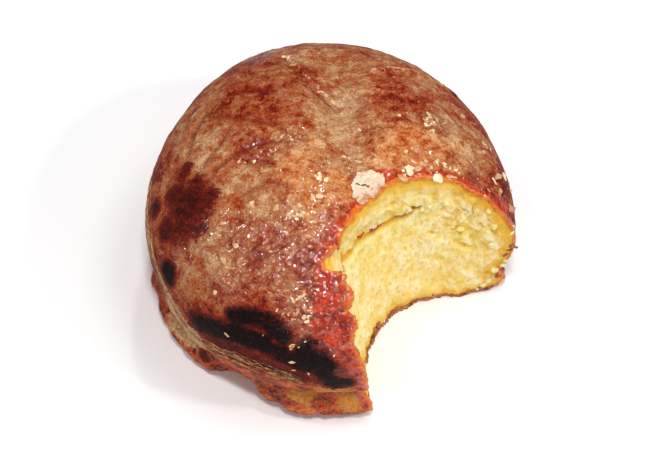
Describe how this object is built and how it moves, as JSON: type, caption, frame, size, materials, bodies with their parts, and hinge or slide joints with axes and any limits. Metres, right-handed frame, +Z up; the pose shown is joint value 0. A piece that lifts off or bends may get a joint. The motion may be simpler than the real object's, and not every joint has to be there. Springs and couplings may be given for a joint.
{
  "type": "bitten doughnut",
  "caption": "Glazed fried doughnut without a hole, dark and shiny on top, resting flat, with a bite taken out of one side that shows pale crumb.",
  "frame": {"origin": "middle of the underside of the box around the bitten doughnut", "axes": "+Z up, out of the top; -Y towards the front; the bite is in the front right corner, towards +X and -Y"},
  "size_m": [0.089, 0.0912, 0.0527],
  "materials": {
    "crust": "dark fried crust under a thin, cracked, shiny sugar film",
    "crumb": "soft, matt, pale yellow crumb with fine pores",
    "glaze": "dried sugar glaze, glossy where thick and whitish where it has flaked"
  },
  "bodies": {
    "root": {"doughnut": "crust"}
  },
  "joints": []
}
